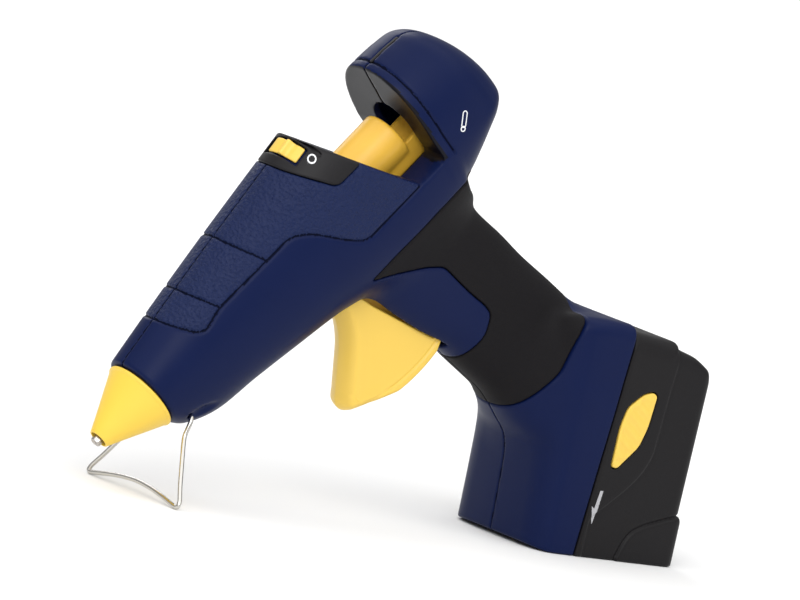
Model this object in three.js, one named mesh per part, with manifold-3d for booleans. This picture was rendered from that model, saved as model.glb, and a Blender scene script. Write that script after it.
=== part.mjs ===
// Cordless hot-melt glue gun: clamshell body with a soft grip, a sector trigger that feeds the
// stick carriage, a heated nozzle, a folding wire stand and a slide-off battery pack.
//
// Millimetres, +Z up.  The tool rests on its wire stand and on the flat front of the battery foot,
// nozzle pointing down towards -X, with the origin under the middle of its bounding box.
// Most pieces are drawn in the "gun frame": x runs back from the nozzle tip along the barrel,
// z is square to the barrel, and the clamshell parts on y = 0.  The battery is drawn in the
// "base frame", which is level: X to the back and Z up from the resting surface.

import * as THREE from 'three';
import { mergeVertices } from 'three/addons/utils/BufferGeometryUtils.js';
import Module from 'manifold-3d';

const wasm = await Module();
wasm.setup();

// ---------- driving dimensions ----------
const GAP = 0.3;                    // clearance left between touching pieces
const BARREL_TILT = 51.2 * Math.PI / 180;   // nose-down angle of the barrel at rest
const TIP_HEIGHT = 18.6;            // nozzle tip above the surface at rest
const CENTRE_X = 144.33;            // middle of the whole tool, behind the base frame's zero
const WALL = 3;                     // clamshell wall
const GRIP_DEPTH = 2;               // rubber overmould thickness
const STICK_RADIUS = 6;             // 12 mm glue stick
const STICK_BORE = 6.8;
const CONE_BASE_X = 29.4;
const CONE_BASE_RADIUS = 17;
const NOZZLE_SHANK = 6.4;
const CHAMBER_RADIUS = 10;
const TRIGGER_PIVOT = { x: 128, z: -20 };
const TRIGGER_RADIUS = 73;
const TRIGGER_SOLE_CENTRE = { x: 140, z: 8 };
const TRIGGER_SOLE_RADIUS = 98;
const TRIGGER_TIP_CENTRE = { x: 103.2, z: -77.2 };
const TRIGGER_TIP_RADIUS = 6;
const FINGER_FACE_CENTRE = { x: 85, z: -34.4 };
const FINGER_FACE_RADIUS = 36;
const TRIGGER_HALF = 8.5;
const LEVER_PIVOT = { x: 158, z: -33 };
const CARRIAGE_FRONT = 122;
const CARRIAGE_REAR = 187;
const CARRIAGE_RADIUS = 11.8;
const CARRIAGE_AXIS_Z = 0.4;
const CRADLE = { rear: 202, half: 9, top: -3, floor: -13 };
const TUNNEL_CLEARANCE = 0.8;
const DECK_Z = -11;
const STAND_PIVOT = { x: 37.2, z: -16.2 };
const WIRE_RADIUS = 1;
const CROWN_AXIS = { x: 147, z: 19.85, slope: 0.155 };
const PACK_HALF = 34;
const PACK_BASE_X = 292.4;
const CELL_RADIUS = 9.2;
const CELL_LENGTH = 65;
const SCREW_HEAD = 3.1;
const SCREW_BORE = 1.5;

// ---------- materials ----------
const finish = (color, roughness, metalness = 0) =>
  new THREE.MeshStandardMaterial({ color, roughness, metalness });
const NAVY = () => finish(0x1f2b50, 0.5);
const YELLOW = () => finish(0xf9c83c, 0.45);
const RUBBER = () => finish(0x29272a, 0.85);
const BLACK = () => finish(0x242326, 0.55);
const STEEL = () => finish(0xb9b6b0, 0.25, 1);
const ALUMINIUM = () => finish(0xc3c5c8, 0.4, 1);
const BRASS = () => finish(0xb8954a, 0.35, 1);
const BOARD = () => finish(0x1d5b34, 0.6);
const SILICONE = () => finish(0xa8432e, 0.7);
const CERAMIC = () => finish(0xe7e2d6, 0.6);
const CELL_WRAP = () => finish(0x2f7fb3, 0.45);

// ---------- geometry helpers ----------
function solid(geometry) {
  const bare = geometry.clone();
  bare.deleteAttribute('normal');
  bare.deleteAttribute('uv');
  const merged = mergeVertices(bare, 1e-4);
  const mesh = new wasm.Mesh({
    numProp: 3,
    vertProperties: new Float32Array(merged.attributes.position.array),
    triVerts: new Uint32Array(merged.index.array),
  });
  return new wasm.Manifold(mesh);
}

function toGeometry(body) {
  const mesh = body.simplify(0.03).getMesh();
  const geometry = new THREE.BufferGeometry();
  geometry.setAttribute('position', new THREE.BufferAttribute(new Float32Array(mesh.vertProperties), 3));
  geometry.setIndex(new THREE.BufferAttribute(new Uint32Array(mesh.triVerts), 1));
  geometry.computeVertexNormals();
  return geometry;
}

const join = (first, ...rest) => rest.reduce((sum, next) => sum.add(next), first);
const cut = (first, ...rest) => rest.reduce((left, next) => left.subtract(next), first);

function box(low, high) {
  const size = [0, 1, 2].map((i) => high[i] - low[i]);
  const geometry = new THREE.BoxGeometry(...size);
  geometry.translate(...[0, 1, 2].map((i) => (high[i] + low[i]) / 2));
  return solid(geometry);
}

// closed solid through rings of points that all have the same count
function loft(rings) {
  const count = rings[0].length;
  const points = rings.flat();
  const faces = [];
  for (let r = 0; r + 1 < rings.length; r += 1) {
    for (let i = 0; i < count; i += 1) {
      const a = r * count + i;
      const b = r * count + (i + 1) % count;
      faces.push(a, b, b + count, a, b + count, a + count);
    }
  }
  const closeEnd = (ring, start, turn) => {
    const middle = new THREE.Vector3();
    ring.forEach((p) => middle.addScaledVector(p, 1 / count));
    points.push(middle);
    for (let i = 0; i < count; i += 1) {
      const next = (i + 1) % count;
      faces.push(points.length - 1, start + (turn > 0 ? next : i), start + (turn > 0 ? i : next));
    }
  };
  closeEnd(rings[0], 0, 1);
  closeEnd(rings.at(-1), (rings.length - 1) * count, -1);
  let volume = 0;
  for (let f = 0; f < faces.length; f += 3) {
    const [a, b, c] = [points[faces[f]], points[faces[f + 1]], points[faces[f + 2]]];
    volume += a.dot(b.clone().cross(c));
  }
  if (volume < 0) faces.reverse();
  const geometry = new THREE.BufferGeometry();
  const places = points.flatMap((p) => p.toArray());
  geometry.setAttribute('position', new THREE.Float32BufferAttribute(places, 3));
  geometry.setIndex(faces);
  return solid(geometry);
}

// smooth curve through stations of several numbers, resampled evenly
function smoothStations(stations, count) {
  const rows = [];
  for (let k = 0; k < count; k += 1) {
    const at = k / (count - 1) * (stations.length - 1);
    const i = Math.min(Math.floor(at), stations.length - 2);
    const t = at - i;
    const nearest = (n) => stations[Math.max(0, Math.min(n, stations.length - 1))];
    const p = [i - 1, i, i + 1, i + 2].map(nearest);
    rows.push(p[1].map((_, c) => 0.5 * (2 * p[1][c] + (p[2][c] - p[0][c]) * t
      + (2 * p[0][c] - 5 * p[1][c] + 4 * p[2][c] - p[3][c]) * t * t
      + (3 * p[1][c] - p[0][c] - 3 * p[2][c] + p[3][c]) * t * t * t)));
  }
  return rows;
}

// egg-shaped ring: width `half` at `middle`, reaching `high` and `low`
function eggRing(count, half, low, middle, high, powerLow, powerHigh, place) {
  const ring = [];
  for (let i = 0; i < count; i += 1) {
    const angle = (i / count) * 2 * Math.PI;
    const c = Math.cos(angle);
    const s = Math.sin(angle);
    const power = s > 0 ? powerHigh : powerLow;
    const across = half * Math.sign(c) * Math.abs(c) ** (2 / power);
    const reach = s > 0 ? high - middle : middle - low;
    const along = middle + reach * Math.sign(s) * Math.abs(s) ** (2 / power);
    ring.push(place(across, along));
  }
  return ring;
}

// extrusion of a side-view outline, |y| <= half (or between two y values)
function sidePrism(points, from, to = null) {
  const [low, high] = to === null ? [-from, from] : [from, to];
  const shape = new THREE.Shape(points.map(([x, z]) => new THREE.Vector2(x, z)));
  const geometry = new THREE.ExtrudeGeometry(shape, { depth: high - low, bevelEnabled: false });
  geometry.rotateX(Math.PI / 2);
  geometry.translate(0, high, 0);
  return solid(geometry);
}

// outline drawn in the base frame, returned in gun-frame coordinates
const COS = Math.cos(BARREL_TILT);
const SIN = Math.sin(BARREL_TILT);
const baseToGun = ([x, z]) => [
  COS * x + SIN * (z - TIP_HEIGHT),
  -SIN * x + COS * (z - TIP_HEIGHT),
];

// turned body about the barrel axis (or a parallel one); profile is [x, radius] pairs
function turned(profile, segments = 24, centreZ = 0, centreY = 0) {
  const points = profile.map(([x, r]) => new THREE.Vector2(r, x));
  const geometry = new THREE.LatheGeometry(points, segments);
  geometry.rotateZ(-Math.PI / 2);
  geometry.translate(0, centreY, centreZ);
  const body = solid(geometry);
  return body.volume() < 0 ? solid(flipped(geometry)) : body;
}

function flipped(geometry) {
  const copy = geometry.clone();
  const index = Array.from(copy.index.array).reverse();
  copy.setIndex(index);
  return copy;
}

const rod = (x0, x1, radius, z = 0, y = 0, segments = 20) =>
  turned([[x0, 0], [x0, radius], [x1, radius], [x1, 0]], segments, z, y);

// cylinder along y at a side-view place
function crossRod(x, z, radius, from, to, segments = 16) {
  const geometry = new THREE.CylinderGeometry(radius, radius, to - from, segments);
  geometry.translate(x, (from + to) / 2, z);
  return solid(geometry);
}

// rounded bar or wire along a curve
function wire(curve, radius, steps, sides) {
  const section = new THREE.Shape();
  for (let i = 0; i < sides; i += 1) {
    const angle = (i / sides) * 2 * Math.PI;
    const method = i ? 'lineTo' : 'moveTo';
    section[method](radius * Math.cos(angle), radius * Math.sin(angle));
  }
  section.closePath();
  return solid(new THREE.ExtrudeGeometry(section, { steps, extrudePath: curve, bevelEnabled: false }));
}

// compression spring wound along an axis
class Helix extends THREE.Curve {
  constructor(start, axis, radius, length, turns) {
    super();
    this.start = start;
    this.axis = axis.clone().normalize();
    this.side = new THREE.Vector3(0, 1, 0);
    if (Math.abs(this.axis.y) > 0.9) this.side.set(0, 0, 1);
    this.up = this.axis.clone().cross(this.side);
    Object.assign(this, { radius, length, turns });
  }

  getPoint(t, target = new THREE.Vector3()) {
    const angle = t * this.turns * 2 * Math.PI;
    return target.copy(this.start)
      .addScaledVector(this.axis, t * this.length)
      .addScaledVector(this.side, this.radius * Math.cos(angle))
      .addScaledVector(this.up, this.radius * Math.sin(angle));
  }
}

const spring = (start, axis, radius, length, turns, gauge = 0.5) =>
  wire(new Helix(start, axis, radius, length, turns), gauge, Math.round(turns * 9), 5);

// ---------- clamshell lofts (gun frame); inset shrinks them for pockets and cavities ----------
const RING = 22;

function barrelLoft(inset = 0, from = 0) {
  const stations = [      // x, top, widest level, bottom, half width
    [30.2, 18.3, 0.8, -16.2, 17.4],
    [36, 19.4, 0.2, -23, 18.1],
    [50.6, 22, -1.5, -29.6, 20],
    [72, 25.7, -4, -31.8, 22.4],
    [96, 29.6, -7, -35, 24.8],
    [118, 32.9, -10, -38.2, 26.8],
    [138, 35.9, -12, -44, 28],
    [158, 38.8, -12, -47, 28],
    [178, 40, -12, -47, 28],
    [196, 40, -12, -45, 27.6],
  ];
  const rings = smoothStations(stations, 14).map(([x, top, middle, bottom, half], i) => {
    const place = (y, z) => new THREE.Vector3(i === 0 ? x - from : x, y, z);
    return eggRing(RING, half - inset, bottom + inset, middle, top - inset, 2.2, 2, place);
  });
  return loft(rings);
}

function hoodLoft(inset = 0) {
  const stations = [      // x, top, widest level, bottom, half width
    [191.5 + inset, 33.4, -6, -38, 28.4],
    [200, 33.2, -6, -36.5, 28.8],
    [210, 32.6, -8, -30.8, 28.4],
    [219, 31, -9, -25, 27.2],
    [226, 24.6, -9.5, -22, 24.2],
    [232, 11.5, -9.5, -19, 18.5],
    [236.2 - inset, -4, -10, -17, 9],
  ];
  const rings = smoothStations(stations, 11).map(([x, top, middle, bottom, half]) => {
    const place = (y, z) => new THREE.Vector3(x, y, z);
    return eggRing(RING, Math.max(half - inset, 3), bottom + inset, middle, top - inset, 2.2, 2.3, place);
  });
  return loft(rings);
}

function handleLoft(inset = 0) {
  const stations = [      // z, front, rear, half width
    [-12, 140, 206, 24],
    [-28, 137, 203.6, 22.5],
    [-43, 134, 202.6, 20],
    [-55, 135.5, 199.8, 18.6],
    [-74, 141.5, 201.8, 17.8],
    [-90, 148.4, 204, 17.8],
    [-109, 152.4, 207.8, 18.4],
    [-130, 154.8, 211.4, 19.6],
    [-150, 157.2, 215, 22],
  ];
  const rings = smoothStations(stations, 12).map(([z, front, rear, half]) => {
    const place = (y, x) => new THREE.Vector3(x, y, z);
    const middle = front + (rear - front) * 0.5;
    return eggRing(RING, half - inset, front + inset, middle, rear - inset, 2.5, 2.3, place);
  });
  return loft(rings);
}

// battery foot: sections parallel to the pack's base, drawn level and turned into the gun frame
function footLoft(inset = 0) {
  const stations = [      // X, low Z, high Z, half width
    [209.5 + inset, 52, 96, 17],
    [213 + inset, 46, 100, 23.5],
    [215.4 + inset, 40, 101.6, 27],
    [216.6 + inset, 22, 102.2, 29.4],
    [217.6 + inset, -6, 102.5, 30.6],
    [226 + 0.5 * inset, -6, 102.5, 31.8],
    [238, -6, 101.7, 33],
    [250, -6, 100.4, 33.4],
  ];
  const rings = smoothStations(stations, 10).map(([x, low, high, half]) => {
    const place = (y, z) => {
      const [gx, gz] = baseToGun([x, z]);
      return new THREE.Vector3(gx, y, gz);
    };
    const floor = low + (low > 0 ? inset : 0);
    return eggRing(RING, half - inset, floor, (low + high) / 2, high - inset, 4, 4, place);
  });
  return loft(rings);
}

// an inset body is also lengthened at the nose, so that pockets open there
const NOSE_OVERRUN = 6;
const bodyLofts = (inset) => join(
  barrelLoft(inset, NOSE_OVERRUN * Math.sign(inset)),
  hoodLoft(inset),
  handleLoft(inset),
  footLoft(inset),
);

// ---------- side-view outlines ----------
const NOTCH = [
  [148.9, 39.5], [176.5, DECK_Z], [191.6, DECK_Z], [192.4, 13], [194.6, 36], [194.6, 60], [140, 60],
];
const NOTCH_GROWN = [
  [145.6, 39.5], [174.7, DECK_Z - WALL], [194.8, DECK_Z - WALL], [195.6, 13], [197.8, 36], [197.8, 60],
  [136, 60],
];

const GRIP_OUTLINE = [
  [136.5, -28.5], [152, -27.5], [176, -27.2], [197, -28], [208, -32], [215, -39], [220, -60],
  [224, -117], [209, -120], [200, -121.2], [191.2, -125.4], [180.2, -131], [169.6, -132.4],
  [158.6, -133.2], [150, -133], [138, -133], [140, -99], [153, -99], [165, -96], [172, -90],
  [172.6, -85], [170, -74], [167, -55], [160, -48], [147, -38],
];

const PLATE_OUTLINE = [
  [134, 44], [134, 35], [145.2, 19.4], [147.2, 17.2], [150, 16.6], [166, 16.6], [180, 30], [180, 44],
];

function arcPoints(centre, radius, from, to, count) {
  const points = [];
  for (let i = 0; i <= count; i += 1) {
    const angle = (from + (to - from) * i / count) * Math.PI / 180;
    points.push([centre.x + radius * Math.cos(angle), centre.z + radius * Math.sin(angle)]);
  }
  return points;
}

// split line between the foot and the pack, in the base frame
const SPLIT = [[238, 0], [246, 97]];
const splitX = (z) => SPLIT[0][0] + (SPLIT[1][0] - SPLIT[0][0]) * z / SPLIT[1][1];

// everything in front of the split line and above the resting plane
function footLimit(setback, floor = 0) {
  const outline = [[-20, floor], [splitX(floor) - setback, floor], [splitX(130) - setback, 130],
    [splitX(130) - setback, 300], [-20, 300]];
  return sidePrism(outline.map(baseToGun), 60);
}

const SCREWS = [    // side-view places of the body screws, all driven from the right-hand side
  [60, -22], [104, -28], [118, 22], [188, -66], [167, -110], [186, -117], [214, 20], [216, -17.5],
];

const gun = new THREE.Group();
const pack = new THREE.Group();

function place(group, name, body, material) {
  const mesh = new THREE.Mesh(toGeometry(body), material);
  mesh.name = name;
  group.add(mesh);
  return mesh;
}

// ---------- clamshell ----------
const outer = bodyLofts(0).intersect(footLimit(0.15));
const gripZone = sidePrism(GRIP_OUTLINE, 60);
const plateZone = sidePrism(PLATE_OUTLINE, 60);
const notch = sidePrism(NOTCH, 60);
const AROUND = [[GAP, 0], [-GAP, 0], [0, GAP], [0, -GAP]];
const grown = (zone) => join(zone, ...AROUND.map(([x, z]) => zone.translate([x, 0, z])));
const underGrip = bodyLofts(GRIP_DEPTH);
const underGripGap = bodyLofts(GRIP_DEPTH + GAP);

const TUNNEL_HALF = CARRIAGE_RADIUS + TUNNEL_CLEARANCE;
const archTunnel = join(
  rod(150, 206, TUNNEL_HALF, CARRIAGE_AXIS_Z, 0, 28),
  box([150, -TUNNEL_HALF, CRADLE.floor - 2 * GAP], [206, TUNNEL_HALF, CARRIAGE_AXIS_Z]),
);

function cavity() {
  const shallow = cut(bodyLofts(WALL), gripZone, plateZone);
  const deep = bodyLofts(WALL + GRIP_DEPTH);
  const keepNotch = sidePrism(NOTCH_GROWN, 60);
  return cut(join(shallow, deep), keepNotch).intersect(footLimit(-10, WALL));
}

function triggerSlot() {
  const sweep = arcPoints(TRIGGER_PIVOT, TRIGGER_RADIUS + 1.4, -112, -38, 14);
  return sidePrism([[117, -24], [112, -44], ...sweep, [160, -24]], TRIGGER_HALF + 0.8);
}

function standPockets() {
  const side = (sign) => {
    const pocket = new THREE.SphereGeometry(1, 14, 10);
    pocket.scale(9, 5, 6);
    pocket.rotateY(0.35);
    pocket.translate(42, sign * 17.5, -16.5);
    return solid(pocket);
  };
  return join(side(1), side(-1));
}

const trough = (grow, floor) => sidePrism([
  [227 - grow, floor], [262, floor], [262, 88.6 + grow], [227 - grow, 88.6 + grow],
].map(baseToGun), 17 + grow);

function housing() {
  let shell = cut(outer, cavity(), notch, archTunnel, triggerSlot(), standPockets(), trough(GAP, -5));
  const bosses = SCREWS.map(([x, z]) => crossRod(x, z, 4.2, -30, 30, 12));
  const inside = bodyLofts(GRIP_DEPTH + 2 * GAP).intersect(footLimit(3, 3));
  shell = join(shell, join(...bosses).intersect(inside));
  const pins = [[TRIGGER_PIVOT, 2.3], [LEVER_PIVOT, 1.8]];
  for (const [pivot, radius] of pins) {
    const posts = join(
      crossRod(pivot.x, pivot.z, radius + 2.4, -30, -14.4, 12),
      crossRod(pivot.x, pivot.z, radius + 2.4, 14.4, 30, 12),
    ).intersect(inside);
    shell = cut(join(shell, posts), crossRod(pivot.x, pivot.z, radius, -19, 19, 12));
  }
  const gripPocket = cut(outer.intersect(grown(gripZone)), underGripGap);
  const platePocket = cut(outer.intersect(grown(plateZone)), bodyLofts(2.2));
  const standBore = crossRod(STAND_PIVOT.x, STAND_PIVOT.z, WIRE_RADIUS + GAP, -30, 30, 10);
  const guideHole = rod(205, 260, 9.6, 0, 0, 24);
  const stripSlot = box([198.6, -1, 31], [215.6, 1, 40]);
  return cut(shell, gripPocket, platePocket, standBore, guideHole, stripSlot);
}

// booleans can leave a sliver or a sealed pocket behind: only the main outer skin is kept
function largest(body) {
  const pieces = solid(toGeometry(body)).decompose();
  return pieces.reduce((best, next) => (next.volume() > best.volume() ? next : best));
}

const shell = housing();
const leftSide = box([-20, -80, -320], [400, -0.15, 320]);
const leftShell = largest(shell.intersect(leftSide));
const gripBlank = cut(outer.intersect(gripZone), underGrip, grown(notch), triggerSlot());
const leftGrip = largest(gripBlank.intersect(leftSide));
const counterbores = SCREWS.map(([x, z]) => crossRod(x, z, SCREW_HEAD + 0.4, 9, 40, 12));
const clearHoles = SCREWS.map(([x, z]) => crossRod(x, z, SCREW_BORE, -1, 10, 10));
const blindHoles = SCREWS.map(([x, z]) => crossRod(x, z, SCREW_BORE, -12, 1, 10));
place(gun, 'left_housing', largest(cut(leftShell, ...blindHoles)), NAVY());
const rightShell = leftShell.mirror([0, 1, 0]);
place(gun, 'right_housing', largest(cut(rightShell, ...clearHoles, ...counterbores)), NAVY());
place(gun, 'left_grip', leftGrip, RUBBER());
place(gun, 'right_grip', largest(cut(leftGrip.mirror([0, 1, 0]), ...counterbores)), RUBBER());

for (const [i, [x, z]] of SCREWS.entries()) {
  const shank = crossRod(x, z, SCREW_BORE - GAP, -4.4, 9.6, 8);
  const head = cut(crossRod(x, z, SCREW_HEAD, 9.4, 12.2, 12), crossRod(x, z, 1.2, 11, 13, 6));
  place(gun, `body_screw_${i + 1}`, join(shank, head), STEEL());
}

// ---------- nozzle and melt chamber ----------
place(gun, 'nozzle_cover', turned([
  [2.6, 4], [3.2, 4.7], [CONE_BASE_X - 1.2, CONE_BASE_RADIUS - 0.5], [CONE_BASE_X, CONE_BASE_RADIUS],
  [CONE_BASE_X, 13.4], [34, 13.4], [34, 11.6], [26, 11.2], [7, 4], [2.6, 4],
], 32), YELLOW());
place(gun, 'nozzle', turned([
  [0, 1.2], [0, 3], [6, 3.4], [22, 8], [32, 8], [32, NOZZLE_SHANK], [42, NOZZLE_SHANK], [42, 3.4], [14, 3.4],
  [11, 1.2], [0, 1.2],
], 20), STEEL());
place(gun, 'valve_ball', solid(new THREE.SphereGeometry(2.4, 12, 8)).translate([16.8, 0, 0]), STEEL());
const valveSeat = new THREE.Vector3(20, 0, 0);
const backwards = new THREE.Vector3(1, 0, 0);
place(gun, 'valve_spring', spring(valveSeat, backwards, 2.2, 16, 6, 0.4), STEEL());
const chamberBody = join(rod(44, 98, CHAMBER_RADIUS, 0, 0, 20), box([50, -9, -15], [92, 9, -3]));
place(gun, 'melt_chamber', cut(
  chamberBody,
  rod(40, 52, NOZZLE_SHANK + GAP, 0, 0, 20),
  rod(52, 110, STICK_BORE, 0, 0, 20),
  box([48, -6.4, -13.4], [94, 6.4, -8.4]),
), ALUMINIUM());
place(gun, 'heater_element', box([56, -6, -13], [86, 6, -8.8]), CERAMIC());
place(gun, 'heater_clip', cut(
  box([60, -11, -17], [82, 11, -7]),
  box([59, -9.3, -15.3], [83, 9.3, -6]),
), STEEL());
place(gun, 'thermal_fuse', rod(64, 78, 1.8, 12.2, 0, 10), CERAMIC());
for (const [name, x] of [['front_chamber_support', 46], ['rear_chamber_support', 94.5]]) {
  const ring = barrelLoft(WALL + GAP).intersect(box([x - 1, -40, -60], [x + 1, 40, 60]));
  const bore = rod(x - 3, x + 3, CHAMBER_RADIUS + GAP, 0, 0, 20);
  const throat = cut(ring, bore, box([x - 3, -12, -17.6], [x + 3, 12, -2]));
  const clearScrews = SCREWS.map(([sx, sz]) => crossRod(sx, sz, 4.6, -40, 40, 10));
  place(gun, name, largest(cut(throat, ...clearScrews)), BLACK());
}
place(gun, 'inlet_sleeve', turned([
  [98.5, 7], [98.5, 11], [103, 11], [106, 9.4], [108.8, 9], [108.8, 7], [98.5, 7],
], 20), SILICONE());

// ---------- stick carriage ----------
const jawWindow = box([129, -8, -20], [134, 8, -4]);
place(gun, 'stick_carriage', cut(
  join(
    rod(CARRIAGE_FRONT, CARRIAGE_REAR, CARRIAGE_RADIUS, CARRIAGE_AXIS_Z, 0, 28),
    box([CARRIAGE_FRONT + 2, -CRADLE.half, CRADLE.floor], [CRADLE.rear, CRADLE.half, CRADLE.top]),
    box([150, -3, -19], [164, 3, -12]),
  ),
  rod(CARRIAGE_FRONT - 1, CRADLE.rear + 1, STICK_BORE, 0, 0, 24),
  jawWindow,
  crossRod(156, -16.5, 1.6, -6, 6, 10),
), YELLOW());
place(gun, 'stick_jaw', cut(
  box([130.6, -7.2, -12.4], [132.4, 7.2, -4.4]),
  rod(125, 140, STICK_RADIUS + 0.4, 0, 0, 20),
), STEEL());
const leverSide = (y0, y1) => sidePrism([
  [153.4, -16.6], [155, -13.8], [158, -13.8], [160, -18], [162.6, -33], [160, -48], [157.4, -50],
  [154.6, -48.6], [153.8, -33],
], y0, y1);
place(gun, 'feed_lever', cut(join(
  leverSide(9.6, 12),
  leverSide(-12, -9.6),
  box([156.4, -10, -26.5], [160.4, 10, -23]),
), crossRod(LEVER_PIVOT.x, LEVER_PIVOT.z, 1.8, -20, 20, 12)), STEEL());
place(gun, 'lever_pin', crossRod(LEVER_PIVOT.x, LEVER_PIVOT.z, 1.5, -18.4, 18.4, 12), STEEL());

// ---------- trigger ----------
const triggerOutline = [
  ...arcPoints(TRIGGER_PIVOT, 5.4, 160, 10, 6),
  [140, -40], [144, -60], [156, -84.5],
  ...arcPoints(TRIGGER_SOLE_CENTRE, TRIGGER_SOLE_RADIUS, -86.5, -112, 6),
  ...arcPoints(TRIGGER_TIP_CENTRE, TRIGGER_TIP_RADIUS, 248, 138.5, 7),
  ...arcPoints(FINGER_FACE_CENTRE, FINGER_FACE_RADIUS, -41.5, -7, 5),
];
const triggerPocket = (y0, y1) => sidePrism([
  [129, -32], [135, -36], [143, -58], [152, -80], [148.5, -83.4], [134.5, -50],
], y0, y1);
place(gun, 'trigger', largest(cut(
  sidePrism(triggerOutline, TRIGGER_HALF),
  triggerPocket(-TRIGGER_HALF - 1, -1.4),
  triggerPocket(1.4, TRIGGER_HALF + 1),
  crossRod(TRIGGER_PIVOT.x, TRIGGER_PIVOT.z, 2.5, -20, 20, 14),
)), YELLOW());
place(gun, 'trigger_pin', crossRod(TRIGGER_PIVOT.x, TRIGGER_PIVOT.z, 2, -18.4, 18.4, 12), STEEL());
const springSeat = new THREE.Vector3(TRIGGER_PIVOT.x, TRIGGER_HALF + 1, TRIGGER_PIVOT.z);
const sideways = new THREE.Vector3(0, 1, 0);
place(gun, 'trigger_spring', spring(springSeat, sideways, 3.4, 4.2, 4, 0.45), STEEL());

// ---------- power switch on the crown ----------
const sliderSlot = box([139.9, -12, 20], [148.9, 12.4, 60]);
const plate = cut(outer.intersect(plateZone), bodyLofts(1.9), notch, sliderSlot);
place(gun, 'switch_plate', largest(plate), BLACK());
function crownArc(inner, reach, from, to, halfLength) {
  const outline = [];
  const steps = 10;
  const along = (i) => from + (to - from) * i / steps;
  for (let i = 0; i <= steps; i += 1) outline.push([reach, along(i)]);
  for (let i = steps; i >= 0; i -= 1) outline.push([inner, along(i)]);
  const corners = outline.map(([r, a]) => new THREE.Vector2(r * Math.sin(a), r * Math.cos(a)));
  const shape = new THREE.Shape(corners);
  const geometry = new THREE.ExtrudeGeometry(shape, { depth: 2 * halfLength, bevelEnabled: false });
  geometry.translate(0, 0, -halfLength);
  geometry.rotateX(Math.PI / 2);
  geometry.rotateZ(Math.PI / 2);
  return solid(geometry);
}
const slider = join(
  crownArc(15.7, 17, -0.68, 0.44, 3.6),
  crownArc(16.8, 18.6, -0.25, -0.13, 3.6),
);
const crownTilt = -Math.atan(CROWN_AXIS.slope) * 180 / Math.PI;
const seatedSlider = slider.rotate([0, crownTilt, 0]).translate([CROWN_AXIS.x, 0, CROWN_AXIS.z]);
place(gun, 'power_slider', seatedSlider, YELLOW());
place(gun, 'slide_switch', box([139, -6, 17.2], [150, 6, 25]), BLACK());
place(gun, 'control_board', box([124, -12.6, 14.4], [152, 12.6, 16]), BOARD());

// ---------- hood ----------
place(gun, 'stick_guide', cut(
  join(rod(207, 214, 12.6, 0, 0, 24), rod(213, 230, 9.2, 0, 0, 24)),
  rod(200, 260, STICK_BORE + 0.4, 0, 0, 24),
), BLACK());
place(gun, 'seam_strip', box([199, -0.7, 31.3], [215.2, 0.7, 32.3]), BLACK());

// ---------- wire stand ----------
const standLine = new THREE.Vector3(-35.4, 0, -14.4).normalize();
const standAt = (distance, y) =>
  new THREE.Vector3(STAND_PIVOT.x, y, STAND_PIVOT.z).addScaledVector(standLine, distance);
const standHalf = [[0, 7], [0, 12.5], [0.6, 14.6], [2.6, 15.7], [9, 16.2], [11, 17], [20, 22.4], [30, 28.6],
  [33.4, 31], [36, 32.6], [37.6, 32.8], [38.2, 31.4], [37.8, 28.6], [36.2, 20], [34.8, 10], [34.2, 0]];
const standPoints = [
  ...standHalf.map(([d, y]) => standAt(d, y)),
  ...standHalf.slice(0, -1).reverse().map(([d, y]) => standAt(d, -y)),
];
const standCurve = new THREE.CatmullRomCurve3(standPoints, false, 'centripetal');
place(gun, 'wire_stand', wire(standCurve, WIRE_RADIUS, 76, 6), STEEL());

// ---------- battery dock and pack (base frame) ----------
const slanted = (offset, depth, z0, z1, half) => sidePrism([
  [splitX(z0) + offset, z0], [splitX(z0) + offset + depth, z0], [splitX(z1) + offset + depth, z1],
  [splitX(z1) + offset, z1],
], half);
const footToBase = (body) => body.rotate([0, -BARREL_TILT * 180 / Math.PI, 0]).translate([0, 0, TIP_HEIGHT]);
const footInside = footToBase(footLoft(WALL + GAP));
const dockSlab = slanted(-4, 3.7, WALL + 2 * GAP, 93, 40);
const troughBox = (grow, floor) => box([227 - grow, -17 - grow, floor], [262, 17 + grow, 88.6 + grow]);
const troughWalls = troughBox(0, 0.4).intersect(slanted(-40, 39.7, 0.4, 93, 40));
const dock = cut(join(dockSlab.intersect(footInside), troughWalls), troughBox(-2, -5));
place(pack, 'battery_dock', largest(dock), BLACK());

function packLoft(inset = 0) {
  const stations = [      // X, low Z, high Z, half width
    [232, -6, 99.8, 33.2],
    [250, -6, 98.4, PACK_HALF],
    [274, -6, 95.8, PACK_HALF],
    [276, -6, 94, PACK_HALF - 0.2],
    [286, -6, 90, PACK_HALF - 0.6],
    [PACK_BASE_X - inset, -6, 86.8, PACK_HALF - 1.8],
  ];
  const rings = stations.map(([x, low, high, half]) => {
    const ringPlace = (y, z) => new THREE.Vector3(x, y, z);
    return eggRing(RING, half - inset, low, (low + high) / 2, high - inset, 5, 5, ringPlace);
  });
  return loft(rings);
}
const behindSplit = (offset, floor) => sidePrism([
  [splitX(floor) + offset, floor], [400, floor], [400, 130], [splitX(130) + offset, 130],
], 60);
const buttonOutline = [
  [246.8, 40.2], [249, 39.8], [254.4, 45.2], [259, 50.4], [261, 56], [261.7, 61], [262.8, 67], [263.4, 72],
  [261.4, 74], [258.6, 74], [253.2, 71], [249.9, 68.4], [248.2, 65], [247.4, 58], [246.6, 50],
];
const buttonMiddle = [255, 57];
const BUTTON_CLEARANCE = 0.6;
const buttonHole = buttonOutline.map(([x, z]) => {
  const away = new THREE.Vector2(x - buttonMiddle[0], z - buttonMiddle[1]);
  away.setLength(away.length() + BUTTON_CLEARANCE);
  return [buttonMiddle[0] + away.x, buttonMiddle[1] + away.y];
});
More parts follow.
